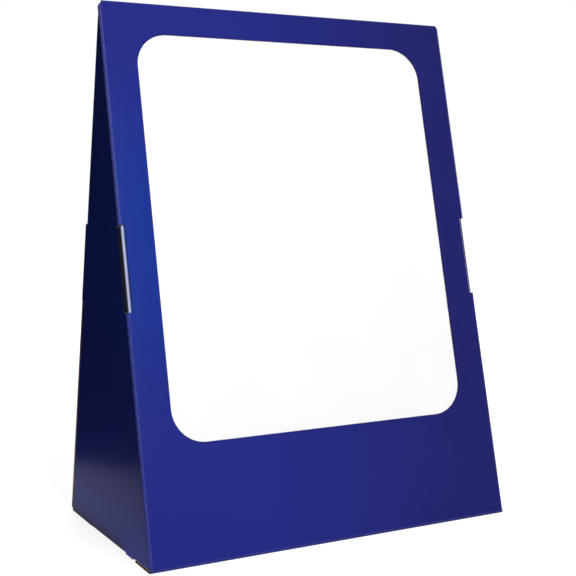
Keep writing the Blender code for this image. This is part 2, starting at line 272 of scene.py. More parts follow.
def printedMaterial(look):
    # Blue flood print under a satin varnish, with painted light: darker toward the right, and a
    # painted sheen by the left fold. The ink attribute is 0 on raw paper. The other attribute is 0
    # on a flat panel; on a fold it lightens the print for scuffed ink and for a painted highlight,
    # and at -1 on a slot edge it paints near-black shade.
    material, tree, shader = newMaterial("printed liner")
    where = addNode(tree, "ShaderNodeTexCoord").outputs["Object"]
    ink = addNode(tree, "ShaderNodeAttribute", {"attribute_name": "ink"}).outputs["Fac"]
    wearAndPaintedLight = addNode(tree, "ShaderNodeAttribute", {"attribute_name": "wearAndPaintedLight"}).outputs["Fac"]
    onBoard = addNode(tree, "ShaderNodeUVMap", {"uv_map": "board"}).outputs["UV"]

    clouds = noiseOn(tree, where, look["cloudScale"], 3.0, 0.5)
    grain = noiseOn(tree, where, look["grainScale"], 2.0, 0.6)
    mottle = noiseOn(tree, where, look["mottleScale"], 3.0, 0.7)
    spread = addNode(tree, "ShaderNodeSeparateXYZ")
    tree.links.new(where, spread.inputs["Vector"])
    # Painted light: the blue darkens from the left of the stand toward the right
    paintedFalloff = ramp(tree, spread.outputs["X"], *look["paintedFalloff"])
    blue = mixColours(tree, paintedFalloff, look["left"], look["right"])
    # A painted sheen: a soft round patch of lighter, greener blue by the left fold
    near = addNode(tree, "ShaderNodeVectorMath", {"operation": "DISTANCE"})
    tree.links.new(where, near.inputs[0])
    near.inputs[1].default_value = look["paintedSheenPlace"]
    core, rim = look["paintedSheenReach"]
    patch = addNode(tree, "ShaderNodeMapRange", {"interpolation_type": "SMOOTHSTEP"},
                    {"From Min": rim, "From Max": core, "To Min": 0.0, "To Max": 1.0})
    tree.links.new(near.outputs["Value"], patch.inputs["Value"])
    blue = mixColours(tree, patch.outputs["Result"], blue, look["bright"])
    film = combine(tree, "ADD", combine(tree, "MULTIPLY", clouds, 0.7),
                   combine(tree, "MULTIPLY", mottle, 0.3))
    film = ramp(tree, film, *look["clouds"], 0.0, look["cloudCover"])
    blue = mixColours(tree, film, blue, look["cloud"])
    pinholes = ramp(tree, grain, *look["pinholes"], 0.0, look["pinholeCover"])
    blue = mixColours(tree, pinholes, blue, look["scuffAndHighlight"])
    # Folds are lightened: scuffed ink, and on the upright folds a painted highlight
    cracks = noiseOn(tree, where, look["crackScale"], 4.0, 0.75)
    cracks = ramp(tree, cracks, *look["cracks"], look["leastCrack"], 1.0)
    wornAndPaintedLight = combine(tree, "MULTIPLY", wearAndPaintedLight, cracks)
    blue = mixColours(tree, wornAndPaintedLight, blue, look["scuffAndHighlight"])
    # Where the attribute is -1 the print turns near-black: painted shade on the slot's edge
    blue = mixColours(tree, ramp(tree, wearAndPaintedLight, 0.0, -1.0), blue, look["crushed"])

    kraft = addKraft(tree, kraftLook)[0]
    tree.links.new(mixColours(tree, ink, kraft, blue), shader.inputs["Base Color"])

    # The flutes telegraph faintly through the liner
    split = addNode(tree, "ShaderNodeSeparateXYZ")
    tree.links.new(onBoard, split.inputs["Vector"])
    turns = combine(tree, "MULTIPLY", split.outputs["X"], 2 * pi / look["flutePitch"])
    ridges = combine(tree, "COSINE", turns)
    normal = bumpFrom(tree, ridges, look["washboard"])
    normal = bumpFrom(tree, grain, look["grainBump"], normal)
    tree.links.new(normal, shader.inputs["Normal"])
    rough = ramp(tree, mottle, 0.3, 0.7, *look["roughness"])
    raw = combine(tree, "MULTIPLY", combine(tree, "SUBTRACT", 1.0, ink), look["rawRoughness"])
    tree.links.new(combine(tree, "ADD", rough, raw), shader.inputs["Roughness"])
    shader.inputs["Specular IOR Level"].default_value = look["specular"]
    return material


printedPaper = printedMaterial(printLook)

whiteLook = {
    "bright": (0.955, 0.955, 0.958),
    "dim": (0.940, 0.941, 0.945),
    "paintedSlotShadow": (0.36, 0.41, 0.66),      # painted shadow: bluish grey on the margin behind the slots
    "slotShadowFrom": (0.2205, 0.2215),    # its start, as a distance from the middle
    "cloudScale": 12.0,
    "clouds": (0.35, 0.65),
    "grainScale": 1400.0,
    "roughness": (0.34, 0.42),
    "specular": 0.3,
    "grainBump": 0.000012,
    # The foam is made much darker than white foam: painted shade of the recess behind the slots
    "foam": (0.40, 0.42, 0.50),
    "foamShade": (0.28, 0.30, 0.37),
    "foamRoughness": 0.8,
    "cellScale": 2200.0,
    "cells": (0.1, 0.7),
    "cellBump": 0.00012,
}


def whiteMaterial(look):
    material, tree, shader = newMaterial("white coated paper")
    where = addNode(tree, "ShaderNodeTexCoord").outputs["Object"]
    clouds = noiseOn(tree, where, look["cloudScale"], 3.0)
    grain = noiseOn(tree, where, look["grainScale"], 2.0)
    colour = mixColours(tree, ramp(tree, clouds, *look["clouds"]), look["dim"], look["bright"])
    # Painted shadow: the white face turns bluish grey behind each slot, where the slot shades it
    spread = addNode(tree, "ShaderNodeSeparateXYZ")
    tree.links.new(where, spread.inputs["Vector"])
    out = combine(tree, "ABSOLUTE", spread.outputs["X"])
    margin = ramp(tree, out, *look["slotShadowFrom"])
    colour = mixColours(tree, margin, colour, look["paintedSlotShadow"])
    tree.links.new(colour, shader.inputs["Base Color"])
    tree.links.new(bumpFrom(tree, grain, look["grainBump"]), shader.inputs["Normal"])
    rough = ramp(tree, clouds, 0.3, 0.7, *look["roughness"])
    tree.links.new(rough, shader.inputs["Roughness"])
    shader.inputs["Specular IOR Level"].default_value = look["specular"]
    return material


def foamMaterial(look):
    # Fine closed cells, cut through at the board's edge, darkened as painted shade of the slot's
    # recess
    material, tree, shader = newMaterial("white foam")
    where = addNode(tree, "ShaderNodeTexCoord").outputs["Object"]
    cells = addNode(tree, "ShaderNodeTexVoronoi", {"feature": "F1"}, {"Scale": look["cellScale"]})
    tree.links.new(where, cells.inputs["Vector"])
    distance = cells.outputs["Distance"]
    colour = mixColours(tree, ramp(tree, distance, *look["cells"]), look["foamShade"], look["foam"])
    tree.links.new(colour, shader.inputs["Base Color"])
    tree.links.new(bumpFrom(tree, distance, look["cellBump"]), shader.inputs["Normal"])
    shader.inputs["Roughness"].default_value = look["foamRoughness"]
    return material


whitePaper = whiteMaterial(whiteLook)
whiteFoam = foamMaterial(whiteLook)
print("materials are ready")


# Outlines

cornerShare = 0.48     # the most of an edge's length that one rounded corner may take


def around(count):
    # Each index of a closed loop with the next one
    return [(i, (i + 1) % count) for i in range(count)]


def roundCorners(outline, radii, steps=6):
    # Rounds each corner by its own radius, and leaves a corner of radius 0 sharp
    points = []
    for i, j in around(len(outline)):
        if radii[i] <= 0:
            points.append(outline[i])
            continue
        corner = Vector(outline[i])
        before = Vector(outline[i - 1]) - corner
        after = Vector(outline[j]) - corner
        half = before.angle(after) / 2
        back = min(radii[i] / tan(half), cornerShare * before.length, cornerShare * after.length)
        radius = back * tan(half)
        inward = (before.normalized() + after.normalized()).normalized()
        middle = corner + inward * (radius / sin(half))
        start = corner + before.normalized() * back - middle
        end = corner + after.normalized() * back - middle
        turn = start.angle_signed(end)
        for k in range(steps + 1):
            turned = Matrix.Rotation(-turn * k / steps, 2) @ start
            points.append(tuple(middle + turned))
    return points


def mirrored(right):
    # An outline from its right half, bottom to top
    return right + [(-a, b) for a, b in reversed(right)]


def withSlots(corners, stops):
    # Four corners' points in order, with the points by each slot between a side's two corners
    left = [(-a, b) for a, b in reversed(stops)]
    return corners[0] + stops + corners[1] + corners[2] + left + corners[3]


def windowLoop(window, offset):
    # The window's edge, or a line round it at some distance, from its lower right corner
    corners = []
    radius = window["radius"] + offset
    half = window["width"] / 2 - window["radius"]
    low = window["bottom"] + window["radius"]
    high = window["top"] - window["radius"]
    middles = ((half, low), (half, high), (-half, high), (-half, low))
    for quarter, (a, b) in enumerate(middles):
        turned = [pi / 2 * (quarter - 1 + k / window["steps"]) for k in range(window["steps"] + 1)]
        corners.append([(a + radius * cos(angle), b + radius * sin(angle)) for angle in turned])
    edge = half + radius
    spread = window["slotSpread"]
    stops = [(edge, b) for b in (slotBottom - spread, slotBottom, slotTop, slotTop + spread)]
    return withSlots(corners, stops)


def frameLoop(window, half, low, high, play):
    # The panel's own edge with its slots, point for point with the window's
    groups = []
    a0 = window["width"] / 2 - window["radius"]
    b0 = window["bottom"] + window["radius"]
    b1 = window["top"] - window["radius"]
    corners = (
        ((a0, low), (half, low), (half, b0)),
        ((half, b1), (half, high), (a0, high)),
        ((-a0, high), (-half, high), (-half, b1)),
        ((-half, b0), (-half, low), (-a0, low)),
    )
    for start, corner, end in corners:
        points = []
        for k in range(window["steps"] + 1):
            t = 2 * k / window["steps"]
            first, last, t = (start, corner, t) if t <= 1 else (corner, end, t - 1)
            points.append(tuple(p + (q - p) * t for p, q in zip(first, last)))
        groups.append(points)
    edge, below, above = slotEdge - play, slotBottom - play, slotTop + play
    return withSlots(groups, [(half, below), (edge, below), (edge, above), (half, above)])


# Sheets of paper and board

def newPiece(name, bm, material):
    mesh = bpy.data.meshes.new(name)
    bm.to_mesh(mesh)
    bm.free()
    piece = bpy.data.objects.new(name, mesh)
    bpy.context.collection.objects.link(piece)
    mesh.materials.append(material)
    return piece


def smoothByAngle(piece, degrees=35):
    piece.data.shade_smooth()
    piece.data.set_sharp_from_angle(angle=radians(degrees))


def loopSheet(name, plane, loops, outer, inner, material, printed=False, inkedEdge=False, wornAndPaintedLight=0.0):
    # A sheet between loops of (a, b) points. outer and inner give each loop's two depths.
    # One loop alone is filled across. With more, the first loop is a hole's edge.
    bm = bmesh.new()
    boardMap = bm.loops.layers.uv.new("board")
    ink = bm.faces.layers.float.new("ink")
    wearAndPaintedLight = bm.faces.layers.float.new("wearAndPaintedLight")

    def addRings(depths):
        rings = []
        for loop, c in zip(loops, depths):
            rings.append([bm.verts.new(place(plane, a, b, c)) for a, b in loop])
        return rings

    tops, unders = addRings(outer), addRings(inner)
    where = {}
    for rings in (tops, unders):
        for ring, loop in zip(rings, loops):
            where.update(zip(ring, loop))
    count = len(loops[0])

    def addFace(verts, inked):
        face = bm.faces.new(verts)
        face[ink] = 1.0 if inked else 0.0
        face[wearAndPaintedLight] = wornAndPaintedLight
        for corner in face.loops:
            corner[boardMap].uv = [v * mm for v in where[corner.vert]]

    def wall(ring, under):
        for i, j in around(count):
            addFace((ring[i], ring[j], under[j], under[i]), inkedEdge)

    if len(loops) == 1:
        addFace(tops[0], printed)
        addFace(unders[0][::-1], False)
    for k in range(len(loops) - 1):
        for i, j in around(count):
            addFace((tops[k][i], tops[k + 1][i], tops[k + 1][j], tops[k][j]), printed)
            addFace((unders[k][i], unders[k][j], unders[k + 1][j], unders[k + 1][i]), False)
    wall(tops[-1], unders[-1])
    if len(loops) > 1:
        wall(tops[0][::-1], unders[0][::-1])
    bmesh.ops.recalc_face_normals(bm, faces=bm.faces)
    piece = newPiece(name, bm, material)
    smoothByAngle(piece)
    return piece


# Pleated fluting, made from a flat patch by a Geometry Nodes tree

pleats = {
    "pitch": 6.5,
    "paper": 0.3,
    "rise": 2.42,          # from trough to crest, outside to outside
    "columns": 10,         # flat strips in one pitch
    "margin": 0.05,        # no strip of the patch is narrower than this
    "weld": 0.000001,      # points this near to each other become one, in metres
}


def pleatTree():
    tree = bpy.data.node_groups.new("pleat a flat patch", "GeometryNodeTree")
    face = tree.interface
    face.new_socket("Patch", in_out="INPUT", socket_type="NodeSocketGeometry")
    for name in ("Origin", "Across", "Inward"):
        face.new_socket(name, in_out="INPUT", socket_type="NodeSocketVector")
    for name in ("Pitch", "Rise", "Paper"):
        face.new_socket(name, in_out="INPUT", socket_type="NodeSocketFloat")
    face.new_socket("Material", in_out="INPUT", socket_type="NodeSocketMaterial")
    face.new_socket("Fluting", in_out="OUTPUT", socket_type="NodeSocketGeometry")
    given = tree.nodes.new("NodeGroupInput").outputs
    result = tree.nodes.new("NodeGroupOutput").inputs["Fluting"]

    def vectorMath(operation, first, second=None, scale=None):
        node = addNode(tree, "ShaderNodeVectorMath", {"operation": operation})
        tree.links.new(first, node.inputs[0])
        if second is not None:
            tree.links.new(second, node.inputs[1])
        if scale is not None:
            tree.links.new(scale, node.inputs["Scale"])
        return node.outputs["Value" if operation == "DOT_PRODUCT" else "Vector"]

    spot = tree.nodes.new("GeometryNodeInputPosition").outputs["Position"]
    fromOrigin = vectorMath("SUBTRACT", spot, given["Origin"])
    across = vectorMath("DOT_PRODUCT", fromOrigin, given["Across"])
    turns = combine(tree, "DIVIDE", combine(tree, "MULTIPLY", across, 2 * pi), given["Pitch"])
    wave = combine(tree, "COSINE", turns)
    reach = combine(tree, "SUBTRACT", given["Rise"], given["Paper"])
    height = combine(tree, "MULTIPLY", wave, combine(tree, "MULTIPLY", reach, 0.5))
    pleated = addNode(tree, "GeometryNodeSetPosition")
    tree.links.new(given["Patch"], pleated.inputs["Geometry"])
    tree.links.new(vectorMath("SCALE", given["Inward"], scale=height), pleated.inputs["Offset"])

    normal = tree.nodes.new("GeometryNodeInputNormal").outputs["Normal"]
    halfBack = combine(tree, "MULTIPLY", given["Paper"], -0.5)
    lowered = addNode(tree, "GeometryNodeSetPosition")
    tree.links.new(pleated.outputs["Geometry"], lowered.inputs["Geometry"])
    tree.links.new(vectorMath("SCALE", normal, scale=halfBack), lowered.inputs["Offset"])
    raised = addNode(tree, "GeometryNodeExtrudeMesh", {"mode": "FACES"}, {"Individual": False})
    tree.links.new(lowered.outputs["Geometry"], raised.inputs["Mesh"])
    tree.links.new(given["Paper"], raised.inputs["Offset Scale"])
    under = addNode(tree, "GeometryNodeFlipFaces")
    tree.links.new(lowered.outputs["Geometry"], under.inputs["Mesh"])
    joined = addNode(tree, "GeometryNodeJoinGeometry")
    tree.links.new(raised.outputs["Mesh"], joined.inputs["Geometry"])
    tree.links.new(under.outputs["Mesh"], joined.inputs["Geometry"])
    merged = addNode(tree, "GeometryNodeMergeByDistance", None, {"Distance": pleats["weld"]})
    tree.links.new(joined.outputs["Geometry"], merged.inputs["Geometry"])
    realized = addNode(tree, "GeometryNodeRealizeInstances")
    tree.links.new(merged.outputs["Geometry"], realized.inputs["Geometry"])
    dressed = addNode(tree, "GeometryNodeSetMaterial")
    tree.links.new(realized.outputs["Geometry"], dressed.inputs["Geometry"])
    tree.links.new(given["Material"], dressed.inputs["Material"])
    tree.links.new(dressed.outputs["Geometry"], result)
    return tree


pleatNodes = pleatTree()


def bakeModifiers(piece):
    # The evaluated mesh becomes the object's own, and the modifiers go
    graph = bpy.context.evaluated_depsgraph_get()
    mesh = bpy.data.meshes.new_from_object(piece.evaluated_get(graph))
    old = piece.data
    piece.modifiers.clear()
    piece.data = mesh
    bpy.data.meshes.remove(old)
    mesh.name = piece.name


def fluting(name, plane, loops):
    # One pleated sheet inside an outline, or between a hole's edge and an outline
    bm = bmesh.new()
    rings = [[bm.verts.new(place(plane, a, b, board / 2)) for a, b in loop] for loop in loops]
    if len(rings) == 1:
        bm.faces.new(rings[0])
    else:
        for i, j in around(len(rings[0])):
            bm.faces.new((rings[0][i], rings[1][i], rings[1][j], rings[0][j]))
    bmesh.ops.recalc_face_normals(bm, faces=bm.faces)
    step = pleats["pitch"] / pleats["columns"]
    low = min(a for loop in loops for a, b in loop)
    high = max(a for loop in loops for a, b in loop)
    first = int(low / step) - 1
    for k in range(first, int(high / step) + 2):
        if low + pleats["margin"] < k * step < high - pleats["margin"]:
            bmesh.ops.bisect_plane(
                bm, geom=bm.verts[:] + bm.edges[:] + bm.faces[:], dist=pleats["weld"],
                plane_co=place(plane, k * step, 0, 0), plane_no=plane["across"])
    piece = newPiece(name, bm, flutePaper)
    modifier = piece.modifiers.new("pleats", "NODES")
    modifier.node_group = pleatNodes
    values = {
        "Origin": plane["origin"] * mm,
        "Across": plane["across"],
        "Inward": plane["inward"],
        "Pitch": pleats["pitch"] * mm,
        "Rise": pleats["rise"] * mm,
        "Paper": pleats["paper"] * mm,
        "Material": flutePaper,
    }
    for socket in pleatNodes.interface.items_tree:
        if socket.item_type == "SOCKET" and socket.in_out == "INPUT" and socket.name in values:
            modifier[socket.identifier] = values[socket.name]
    bakeModifiers(piece)
    smoothByAngle(piece, 50)
    return piece


def joinInto(piece, other):
    # The other object's mesh goes into the piece, with its attributes
    bm = bmesh.new()
    bm.from_mesh(piece.data)
    bm.from_mesh(other.data)
    bm.to_mesh(piece.data)
    bm.free()
    bpy.data.objects.remove(other, do_unlink=True)
    smoothByAngle(piece, 50)


def settle(piece, body, node):
    # The calls of a piece that rides one body
    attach(piece, body)
    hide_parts(node)


def panel(name, plane, outlines, shadeBorder=None):
    # The three papers of a panel without a window, with one outline for each paper.
    # A border is a narrow strip of print as thick as the board, painted near-black as shade in the
    # slot.
    printed, pleated, lining = outlines
    piece = loopSheet(name + "_print", plane, [printed], [0.0], [liner], printedPaper, True)
    if shadeBorder:
        # This strip is painted near-black: painted shade in the slot
        shadeLip = loopSheet("slot_shade_lip", plane, [shadeBorder], [0.0], [board], printedPaper, True, True, -1.0)
        joinInto(piece, shadeLip)
    settle(piece, name, name + "_printed_liner")
    piece = fluting(name + "_flutes", plane, [pleated])
    settle(piece, name, name + "_fluting")
    piece = loopSheet(name + "_lining", plane, [lining], [board - liner], [board], kraftPaper)
    settle(piece, name, name + "_inner_liner")
    print(name, "panel: three papers")


def reachUp(depth):
    # How far up its slope a paper at some depth goes before it meets the other slope's
    return (halfDepth - stand["ridgePlay"] - depth * cos(lean)) / sin(lean)


# How far the print, the fluting and the lining of a slope stop inside the outline,
# and how far up the slope each goes
paperEnds = (
    (linerPlay, ridgeRun - linerPlay),
    (flutePlay, reachUp(board - liner)),
    (linerPlay, reachUp(board)),
)


# Front frame with its window

window = {
    "width": 376.0,
    "bottom": 127.5,
    "top": 584.0,
    "radius": 38.0,
    "steps": 24,
    "roll": 3.0,           # the die rolls the print in over this width
    "rollDepth": 2.35,
    "rings": 6,
    "rimPlay": 0.01,       # between the crushed rim of the flutes and each liner
    "slotSpread": 1.0,     # from a point at a slot's end to the next one along the window
}


def frontPanel():
    shares = [k / window["rings"] for k in range(window["rings"] + 1)]
    loops = [windowLoop(window, window["roll"] * s) for s in shares]
    depths = [window["rollDepth"] * (1 - s) ** 2 for s in shares]
    outer = []
    for play, top in paperEnds:
        outer.append(frameLoop(window, innerHalf - play, floorFold + play, top, play))
    piece = loopSheet("front_print", frontPlane, loops + [outer[0]], depths + [0.0],
                      [d + liner for d in depths] + [liner], printedPaper, True, True)
    for side in (-1, 1):
        # The print is pressed down the wall of each slot, in front of the flutes
        near, far = side * (slotEdge - linerPlay), side * (slotEdge - flutePlay)
        wall = [(far, slotBottom), (near, slotBottom), (near, slotTop), (far, slotTop)]
        pressed = loopSheet("slot_wall", frontPlane, [wall], [liner], [board - liner],
                            printedPaper, True, True)
        joinInto(piece, pressed)
    settle(piece, "front", "front_printed_liner")

    piece = fluting("front_flutes", frontPlane, [loops[-1], outer[1]])
    rimPlay = window["rimPlay"]
    crushed = loopSheet("window_rim", frontPlane, loops, [d + liner + rimPlay for d in depths],
                        [board - liner - rimPlay] * len(loops), flutePaper)
    joinInto(piece, crushed)
    settle(piece, "front", "front_fluting")

    piece = loopSheet("front_lining", frontPlane, [loops[0], outer[2]], [board - liner] * 2,
                      [board] * 2, kraftPaper)
    settle(piece, "front", "front_inner_liner")
    print("front panel: three papers with the window")


# Back, full width, with a notch for the ear of each side

backCut = {
    "notch": 3.7,          # in from the outline
    "upperInset": 2.1,     # each edge above the notch is this far in
    "cornerDrop": 16.0,    # the chamfer starts this far below the ridge
    "cornerCut": 2.4,
    "radii": (0, 1.2, 0.6, 0.6, 0.5, 2.0, 2.0, 0),     # from the foot up
}


def backPanel():
    outlines = []
    notched = halfWidth - backCut["notch"]
    upper = halfWidth - backCut["upperInset"]
    corner = ridgeRun - backCut["cornerDrop"]
    cut = backCut["cornerCut"]
    for play, top in paperEnds:
        right = [
            (halfWidth - play, floorFold + play),
            (halfWidth - play, slotBottom),
            (notched, slotBottom),
            (notched, slotTop),
            (upper, slotTop),
            (upper, corner),
            (upper - cut, corner + cut),
            (upper - cut, top),
        ]
        outlines.append(roundCorners(mirrored(right), backCut["radii"] + backCut["radii"][::-1]))
    panel("back", backPlane, outlines)


# Sides, each with a foot at the front and one at the back

sideCut = {
    "footStep": 51.5,        # back from the front corner, up to here over the front flap
    "frontFoot": 75.0,       # the front foot's end
    "rearFoot": 192.0,       # the rear foot's start
    "frontClearance": 0.7,   # each clearance is over the table
    "middleClearance": (2.4, 1.0),
    "rearClearance": 0.4,
    "topRelief": 15.0,       # from the ridge down to the side's top
    "heelPlay": 0.35,        # over the front flap
    "rearPlay": 1.6,         # to the back's inner face
    "earProud": 0.6,         # past the back's print
    "slotPlay": 0.5,         # the ear is this much shorter than its notch at each end
    "shadeBorderEnd": 1.0,        # the strip of painted slot shade stops this far inside the slot's ends
}


def sideOutline(side, play):
    plane = sidePlanes[side]
    edge = board + play
    slot = stand["slotDepth"] + flutePlay
    heelHeight = board + sideCut["heelPlay"]
    butt = board + sideCut["rearPlay"]
    top = ridgeHeight - sideCut["topRelief"]

    def level(a, height):
        return (a, (height + a * sin(lean)) / cos(lean))

    def floorPoint(back, height):
        return placeOn(plane, side * halfWidth, -halfDepth + back, height)

    def rear(b, inset):
        y = halfDepth - b * sin(lean) - inset * cos(lean)
        return placeOn(plane, side * halfWidth, y, b * cos(lean) - inset * sin(lean))

    heel = (sideCut["rearClearance"] + butt * sin(lean)) / cos(lean)
    topRear = (top + butt * sin(lean)) / cos(lean)
    low, high = slotBottom + sideCut["slotPlay"], slotTop - sideCut["slotPlay"]
    corners = [
        (level(edge, heelHeight), 0),
        (floorPoint(sideCut["footStep"], heelHeight), 0.8),
        (floorPoint(sideCut["footStep"], sideCut["frontClearance"]), 1.0),
        (floorPoint(sideCut["frontFoot"], sideCut["frontClearance"]), 0.6),
        (floorPoint(sideCut["frontFoot"], sideCut["middleClearance"][0]), 0.8),
        (floorPoint(sideCut["rearFoot"], sideCut["middleClearance"][1]), 0.2),
        (floorPoint(sideCut["rearFoot"], sideCut["rearClearance"]), 0.2),
        (rear(heel, butt), 0.6),
        (rear(low, butt), 0.8),
        (rear(low, -sideCut["earProud"]), 1.0),
        (rear(high, -sideCut["earProud"]), 1.0),
        (rear(high, butt), 0.8),
        (rear(topRear, butt), 0.8),
        (level(edge, top), 0.8),
        ((edge, slotTop), 0),
        ((slot, slotTop), 1.5),
        ((slot, slotBottom), 1.5),
        ((edge, slotBottom), 0),
    ]
    return roundCorners([c for c, r in corners], [r for c, r in corners], 4)


def sidePanel(name, side):
    # A strip of print over the slot's edge, in front of the flutes, painted near-black: painted
    # shade in the slot
    deep = stand["slotDepth"]
    low, high = slotBottom + sideCut["shadeBorderEnd"], slotTop - sideCut["shadeBorderEnd"]
    near, far = deep + linerPlay, deep + flutePlay - linerPlay
    shadeBorder = [(near, high), (far, high), (far, low), (near, low)]
    outlines = [sideOutline(side, play) for play in (linerPlay, flutePlay, linerPlay)]
    panel(name, sidePlanes[side], outlines, shadeBorder)


# Bottom flaps

backFlapPlay = 0.8     # to the inner face of each side
flapCut = {
    # Half a width, the length from the floor corner, and the chamfer of the free corners
    "front": {"half": halfWidth, "reach": 75.0, "corner": 28.0},
    "back": {"half": innerHalf - backFlapPlay, "reach": 80.0, "corner": 12.0},
    "cornerRound": 3.0,
}


def flapPanel(name, plane, cut):
    half, reach, corner = cut["half"], cut["reach"], cut["corner"]
    radii = [0] + [flapCut["cornerRound"]] * 2
    outlines = []
    for play in (linerPlay, flutePlay, linerPlay):
        edge = half - play
        right = [(edge, floorFold + play), (edge, reach - corner), (edge - corner, reach)]
        outlines.append(roundCorners(mirrored(right), radii + radii[::-1]))
    panel(name, plane, outlines)


# Folds: crushed board rolled round each fold line

fold = {
    "thickness": 1.9,      # of the crushed board
    "steps": 12,           # facets round a roll, and half as many as along it
    "reach": 1.3,          # a length over the distance between a roll's two edges
    "uprightGap": 0.3,     # from the floor fold to the upright rolls
    "topClip": 1.0,        # from the ridge to the upright rolls, at the front
    "cornerClip": 5.0,     # and this much more at the side, because the upper end slants
    "ridgeHalf": 224.6,    # half the ridge fold's length
    "floorHalf": 227.6,    # half the front floor fold's length
    "ridgeLeg": 5.5,       # down each slope, behind its print
    "ridgeLegGap": 0.05,   # from a leg to the middle of the stand
    # How far each fold's print is lightened: scuffed ink, and on the upright folds also a painted
    # highlight, strongest near the top
    "wearAndPaintedLight": {"lower": 0.55, "upper": 0.9, "floor": 0.35, "ridge": 0.5},
}


def sweep(name, section, inked, wearAndPaintedLight):
    # Each point of the section is a line from one end of the fold to the other.
    # A crushed fold has no washboard, so all of it takes one spot of the board map.
    bm = bmesh.new()
    boardMap = bm.loops.layers.uv.new("board")
    ink = bm.faces.layers.float.new("ink")
    wornAndPaintedLight = bm.faces.layers.float.new("wearAndPaintedLight")
    stations = fold["steps"] * 2
    rings = []
    for k in range(stations + 1):
        t = k / stations
        rings.append([bm.verts.new(end0.lerp(end1, t)) for end0, end1 in section])
    faces = [(bm.faces.new(rings[0]), True, 0.0), (bm.faces.new(rings[-1][::-1]), True, 0.0)]
    for k in range(stations):
        for i, j in around(len(section)):
            verts = (rings[k][i], rings[k][j], rings[k + 1][j], rings[k + 1][i])
            faces.append((bm.faces.new(verts), inked[i], wearAndPaintedLight))
    for face, isInked, amount in faces:
        face[ink] = 1.0 if isInked else 0.0
        face[wornAndPaintedLight] = amount
        for corner in face.loops:
            corner[boardMap].uv = (0.25 * pleats["pitch"] * mm, 0.0)
    bmesh.ops.recalc_face_normals(bm, faces=bm.faces)
    piece = newPiece(name, bm, printedPaper)
    smoothByAngle(piece, 40)
    return piece


def roll(name, plane, ends, towards, turn, node, wearAndPaintedLight, slant=0.0):
    # Part of a ring about the fold line, from one panel's print round to the next one's
    steps = fold["steps"]
    section, inked = [], []
    for radius, angles in (
        (board, [turn * k / steps for k in range(steps + 1)]),
        (board - fold["thickness"], [turn * k / steps for k in range(steps, -1, -1)]),
    ):
        for angle in angles:
            out, along = radius * cos(angle), radius * sin(angle)
            points = []
            for (a, b, c), drop in zip(ends, (0.0, slant * angle / turn)):
                a += towards[0] * along
                b += towards[1] * along - drop
                points.append(place(plane, a, b, c - out))
            section.append(points)
            inked.append(radius == board and len(inked) < steps)
    piece = sweep(name, section, inked, wearAndPaintedLight)
    bend(piece)
    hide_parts(node)


def bend(piece):
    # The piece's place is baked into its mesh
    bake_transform(piece)


def uprightFolds():
    low = floorFold + fold["uprightGap"]
    high = ridgeRun - fold["topClip"]
    for name, side in (("left", -1), ("right", 1)):
        for part, b0, b1 in (("lower", low, slotBottom), ("upper", slotTop, high)):
            ends = [(side * innerHalf, b, board) for b in (b0, b1)]
            slant = fold["cornerClip"] if part == "upper" else 0.0
            roll(name + "_fold_" + part, frontPlane, ends, (side, 0), pi / 2,
                 name + "_crease_" + part, fold["wearAndPaintedLight"][part], slant)


def floorFolds():
    for name, plane, half in (("front", frontPlane, fold["floorHalf"]),
                              ("back", backPlane, flapCut["back"]["half"])):
        ends = [(a, floorFold, board) for a in (-half, half)]
        roll(name + "_floor_fold", plane, ends, (0, -1), floorTurn,
             name + "_floor_crease", fold["wearAndPaintedLight"]["floor"])


def ridgeFold():
    # Both boards crushed thin: a small roll, and a leg behind the print of each slope
    radius = stand["ridgeRadius"]
    steps = fold["steps"]
    foot = ridgeRun - fold["ridgeLeg"]
    inner = radius - fold["ridgeLegGap"]
    half = [(ridgeRun, inner), (foot, inner), (foot, liner), (ridgeRun, liner)]
    angles = [(pi / 2 - lean) * k / steps for k in range(steps + 1)]
    half += [(ridgeRun + radius * sin(angle), radius - radius * cos(angle)) for angle in angles]
    profile = []
    for b, c in half:
        spot = place(frontPlane, 0, b, c)
        profile.append((spot.y, spot.z))
    profile += [(-y, z) for y, z in reversed(profile[:-1])]
    reach = fold["ridgeHalf"] * mm
    section = [(Vector((-reach, y, z)), Vector((reach, y, z))) for y, z in profile]
    arcStart = len(half) - steps - 1
    inked = [arcStart <= i < arcStart + 2 * steps for i in range(len(section))]
    piece = sweep("ridge_fold", section, inked, fold["wearAndPaintedLight"]["ridge"])
    bend(piece)
    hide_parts("ridge_crease")


# White foam board behind the window

chart = {
    "face": 3.5,           # behind the print of the front
    "thickness": 5.0,
    "paper": 0.3,
    "lapTop": 11.0,        # past the window, under the frame
    "lapBottom": 28.0,
    "play": 0.6,           # to the inner face of each side
    "round": 1.5,
}


def chartBoard():
    low = window["bottom"] - chart["lapBottom"]
    high = window["top"] + chart["lapTop"]
    half = innerHalf - chart["play"]
    outline = roundCorners(mirrored([(half, low), (half, high)]), [chart["round"]] * 4)
    face, rear = chart["face"], chart["face"] + chart["thickness"]
    paper = chart["paper"]
    layers = (
        ("chart_face", face, face + paper, whitePaper, "chart_board_face", "white_paper"),
        ("chart_foam", face + paper, rear - paper, whiteFoam, "chart_board_foam", "white_foam"),
        ("chart_backing", rear - paper, rear, whitePaper, "chart_board_backing", "white_paper"),
    )
    for name, outer, inner, material, node, slot in layers:
        piece = loopSheet(name, frontPlane, [outline], [outer], [inner], material)
        settle(piece, "front", node)
    print("white board: face, foam and backing")


frontPanel()
backPanel()
sidePanel("left_side", -1)
sidePanel("right_side", 1)
flapPanel("front_flap", frontFloor, flapCut["front"])
flapPanel("back_flap", backFloor, flapCut["back"])
uprightFolds()
floorFolds()
ridgeFold()
print("seven folds")
chartBoard()


# Table, lamps and camera

